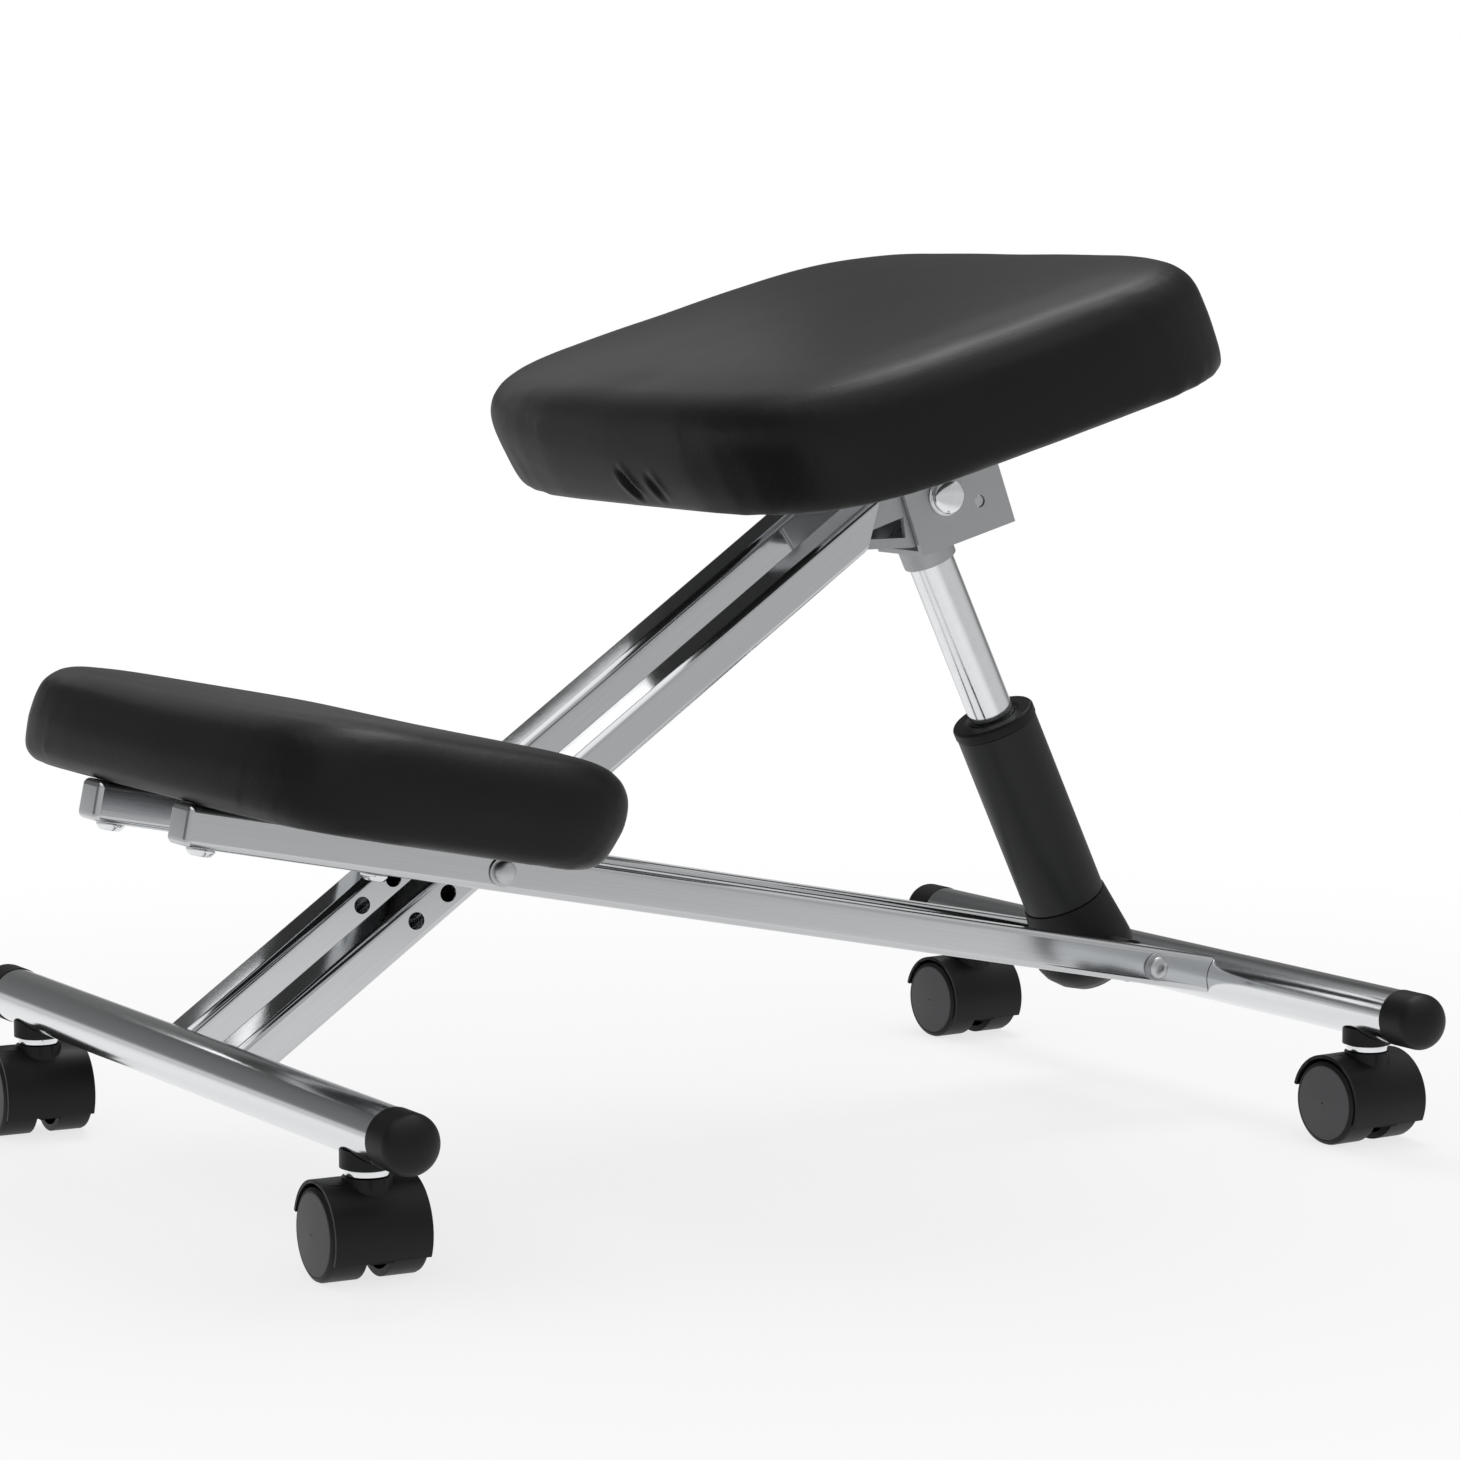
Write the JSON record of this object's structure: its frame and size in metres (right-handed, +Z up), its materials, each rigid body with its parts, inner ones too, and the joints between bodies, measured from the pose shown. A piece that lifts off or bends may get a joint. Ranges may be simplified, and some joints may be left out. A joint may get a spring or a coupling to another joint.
{
  "type": "kneeling chair",
  "caption": "Kneeling chair: padded seat on a gas lift over a scissor frame with a padded knee rest, end-capped crossbars and twin-wheel casters.",
  "frame": {"origin": "on the floor, under the middle of the chair's box", "axes": "+X to the sitter's left, +Y to the rear, away from the knee rest, +Z up"},
  "size_m": [0.558, 0.7268, 0.5212],
  "materials": {
    "brushed_tube": "satin silver tube",
    "polished_bar": "polished",
    "chrome": "bright chrome plate",
    "zinc_steel": "zinc-plated",
    "grey_paint": "silver-grey satin paint",
    "black_plastic": "fine-grained moulding",
    "wheel_plastic": "smooth nylon, slightly worn",
    "black_paint": "satin black",
    "black_leather": "fine-grained, soft sheen",
    "plywood": "plywood, stained black"
  },
  "bodies": {
    "knee_frame": {"left_rail": "brushed_tube", "right_rail": "brushed_tube", "scissor_pivot_bolt": "zinc_steel", "lift_foot_bolt": "zinc_steel", "pivot_spacer": "zinc_steel", "knee_board": "plywood", "knee_cushion": "black_leather", "knee_bolt_front_left": "chrome", "knee_bolt_front_right": "chrome", "knee_bolt_rear_left": "chrome", "knee_bolt_rear_right": "chrome", "rear_bar": "polished_bar", "rear_left_end_cap": "black_plastic", "rear_right_end_cap": "black_plastic", "rear_left_caster_collar": "black_plastic", "rear_right_caster_collar": "black_plastic"},
    "strut_frame": {"left_strut": "brushed_tube", "right_strut": "brushed_tube", "strut_yoke": "grey_paint", "front_bar": "polished_bar", "front_left_end_cap": "black_plastic", "front_right_end_cap": "black_plastic", "front_left_caster_collar": "black_plastic", "front_right_caster_collar": "black_plastic"},
    "lift_base": {"lift_shoe": "black_plastic", "lift_outer_tube": "black_paint", "lift_rim_bush": "black_plastic", "lift_piston_rod": "chrome"},
    "seat": {"lift_cylinder": "chrome", "seat_bracket": "grey_paint", "seat_pivot_bolt": "polished_bar", "seat_board": "plywood", "seat_cushion": "black_leather", "seat_screw_front_left": "zinc_steel", "seat_screw_front_right": "zinc_steel", "seat_screw_rear_left": "zinc_steel", "seat_screw_rear_right": "zinc_steel"},
    "valve_pin": {"lift_valve_pin": "zinc_steel"},
    "lever": {"release_lever": "zinc_steel", "lever_grip": "black_plastic"},
    "front_left_caster": {"front_left_caster_stem": "chrome", "front_left_caster_hood": "black_plastic", "front_left_caster_axle": "zinc_steel"},
    "front_left_caster_front_wheel": {"front_left_caster_front_wheel": "wheel_plastic"},
    "front_left_caster_rear_wheel": {"front_left_caster_rear_wheel": "wheel_plastic"},
    "front_right_caster": {"front_right_caster_stem": "chrome", "front_right_caster_hood": "black_plastic", "front_right_caster_axle": "zinc_steel"},
    "front_right_caster_front_wheel": {"front_right_caster_front_wheel": "wheel_plastic"},
    "front_right_caster_rear_wheel": {"front_right_caster_rear_wheel": "wheel_plastic"},
    "rear_left_caster": {"rear_left_caster_stem": "chrome", "rear_left_caster_hood": "black_plastic", "rear_left_caster_axle": "zinc_steel"},
    "rear_left_caster_front_wheel": {"rear_left_caster_front_wheel": "wheel_plastic"},
    "rear_left_caster_rear_wheel": {"rear_left_caster_rear_wheel": "wheel_plastic"},
    "rear_right_caster": {"rear_right_caster_stem": "chrome", "rear_right_caster_hood": "black_plastic", "rear_right_caster_axle": "zinc_steel"},
    "rear_right_caster_front_wheel": {"rear_right_caster_front_wheel": "wheel_plastic"},
    "rear_right_caster_rear_wheel": {"rear_right_caster_rear_wheel": "wheel_plastic"}
  },
  "joints": [
    {"name": "frame_fold", "type": "hinge", "parent": "knee_frame", "child": "strut_frame", "pos_m": [0, -0.17102, 0.18223], "axis": [1, 0, 0], "range_deg": [-10.8, 0]},
    {"name": "lift_pivot", "type": "hinge", "parent": "knee_frame", "child": "lift_base", "pos_m": [0, 0.27968, 0.0902], "axis": [1, 0, 0], "range_deg": [-0.34, 0]},
    {"name": "lift_stroke", "type": "slide", "parent": "lift_base", "child": "seat", "axis": [0, -0.4274, 0.9041], "range_m": [-0.0719, 0]},
    {"name": "lever_press", "type": "hinge", "parent": "seat", "child": "lever", "pos_m": [0, 0.1816, 0.37475], "axis": [1, 0, 0], "range_deg": [0, 7], "stiffness_Nm_per_rad": 0.4, "springref_deg": -20.05},
    {"name": "valve_press", "type": "slide", "parent": "seat", "child": "valve_pin", "axis": [0, -0.4274, 0.9041], "range_m": [-0.0041, 0]},
    {"name": "front_left_caster_swivel", "type": "hinge", "parent": "strut_frame", "child": "front_left_caster", "pos_m": [0.219, -0.32848, 0.05], "axis": [0, 0, 1], "continuous": true},
    {"name": "front_left_caster_front_wheel_spin", "type": "hinge", "parent": "front_left_caster", "child": "front_left_caster_front_wheel", "pos_m": [0.21301, -0.32816, 0.025], "axis": [0.0523, 0.9986, 0], "continuous": true},
    {"name": "front_left_caster_rear_wheel_spin", "type": "hinge", "parent": "front_left_caster", "child": "front_left_caster_rear_wheel", "pos_m": [0.21301, -0.32816, 0.025], "axis": [0.0523, 0.9986, 0], "continuous": true},
    {"name": "front_right_caster_swivel", "type": "hinge", "parent": "strut_frame", "child": "front_right_caster", "pos_m": [-0.219, -0.32848, 0.05], "axis": [0, 0, 1], "continuous": true},
    {"name": "front_right_caster_front_wheel_spin", "type": "hinge", "parent": "front_right_caster", "child": "front_right_caster_front_wheel", "pos_m": [-0.22499, -0.32816, 0.025], "axis": [0.0523, 0.9986, 0], "continuous": true},
    {"name": "front_right_caster_rear_wheel_spin", "type": "hinge", "parent": "front_right_caster", "child": "front_right_caster_rear_wheel", "pos_m": [-0.22499, -0.32816, 0.025], "axis": [0.0523, 0.9986, 0], "continuous": true},
    {"name": "rear_left_caster_swivel", "type": "hinge", "parent": "knee_frame", "child": "rear_left_caster", "pos_m": [0.209, 0.33455, 0.05], "axis": [0, 0, 1], "continuous": true},
    {"name": "rear_left_caster_front_wheel_spin", "type": "hinge", "parent": "rear_left_caster", "child": "rear_left_caster_front_wheel", "pos_m": [0.20301, 0.33424, 0.025], "axis": [-0.0523, 0.9986, 0], "continuous": true},
    {"name": "rear_left_caster_rear_wheel_spin", "type": "hinge", "parent": "rear_left_caster", "child": "rear_left_caster_rear_wheel", "pos_m": [0.20301, 0.33424, 0.025], "axis": [-0.0523, 0.9986, 0], "continuous": true},
    {"name": "rear_right_caster_swivel", "type": "hinge", "parent": "knee_frame", "child": "rear_right_caster", "pos_m": [-0.209, 0.33455, 0.05], "axis": [0, 0, 1], "continuous": true},
    {"name": "rear_right_caster_front_wheel_spin", "type": "hinge", "parent": "rear_right_caster", "child": "rear_right_caster_front_wheel", "pos_m": [-0.21499, 0.33424, 0.025], "axis": [-0.0523, 0.9986, 0], "continuous": true},
    {"name": "rear_right_caster_rear_wheel_spin", "type": "hinge", "parent": "rear_right_caster", "child": "rear_right_caster_rear_wheel", "pos_m": [-0.21499, 0.33424, 0.025], "axis": [-0.0523, 0.9986, 0], "continuous": true}
  ],
  "couplings": [
    {"joint": "lift_pivot", "follows": "frame_fold", "ratio": 0.0312},
    {"joint": "lift_stroke", "follows": "frame_fold", "m_per_rad": 0.381},
    {"joint": "valve_press", "follows": "lever_press", "m_per_rad": -0.033}
  ]
}
